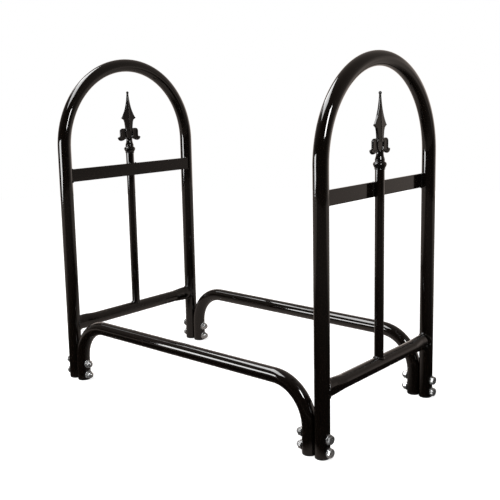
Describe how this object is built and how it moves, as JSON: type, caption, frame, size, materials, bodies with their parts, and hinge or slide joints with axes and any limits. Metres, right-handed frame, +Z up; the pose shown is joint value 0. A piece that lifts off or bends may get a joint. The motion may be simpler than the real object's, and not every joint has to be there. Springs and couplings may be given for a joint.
{
  "type": "log holder",
  "caption": "Free-standing firewood rack: arched black tube end frames with spear finials, joined by two bolted base rails.",
  "frame": {"origin": "on the floor, at the middle of the rack", "axes": "+X along the rails from the left to the right end frame, +Y from the front rail to the rear rail, +Z up"},
  "size_m": [0.6532, 0.345, 0.6274],
  "materials": {
    "tube_paint": "gloss black paint on bent steel tube",
    "strap_paint": "gloss black paint on flat steel bar",
    "finial_casting": "gloss black paint on a sand casting",
    "bright_fasteners": "bright zinc plate",
    "plug_plastic": "black moulded plastic"
  },
  "bodies": {
    "root": {"front_rail": "tube_paint", "left_finial": "finial_casting", "left_front_bolts": "bright_fasteners", "left_front_cap_nuts": "bright_fasteners", "left_front_hoop_plug": "plug_plastic", "left_front_rail_plug": "plug_plastic", "left_front_washers": "bright_fasteners", "left_hoop": "tube_paint", "left_rear_bolts": "bright_fasteners", "left_rear_cap_nuts": "bright_fasteners", "left_rear_hoop_plug": "plug_plastic", "left_rear_rail_plug": "plug_plastic", "left_rear_washers": "bright_fasteners", "left_rod": "tube_paint", "left_rung": "tube_paint", "left_strap": "strap_paint", "rear_rail": "tube_paint", "right_finial": "finial_casting", "right_front_bolts": "bright_fasteners", "right_front_cap_nuts": "bright_fasteners", "right_front_hoop_plug": "plug_plastic", "right_front_rail_plug": "plug_plastic", "right_front_washers": "bright_fasteners", "right_hoop": "tube_paint", "right_rear_bolts": "bright_fasteners", "right_rear_cap_nuts": "bright_fasteners", "right_rear_hoop_plug": "plug_plastic", "right_rear_rail_plug": "plug_plastic", "right_rear_washers": "bright_fasteners", "right_rod": "tube_paint", "right_rung": "tube_paint", "right_strap": "strap_paint"}
  },
  "joints": []
}
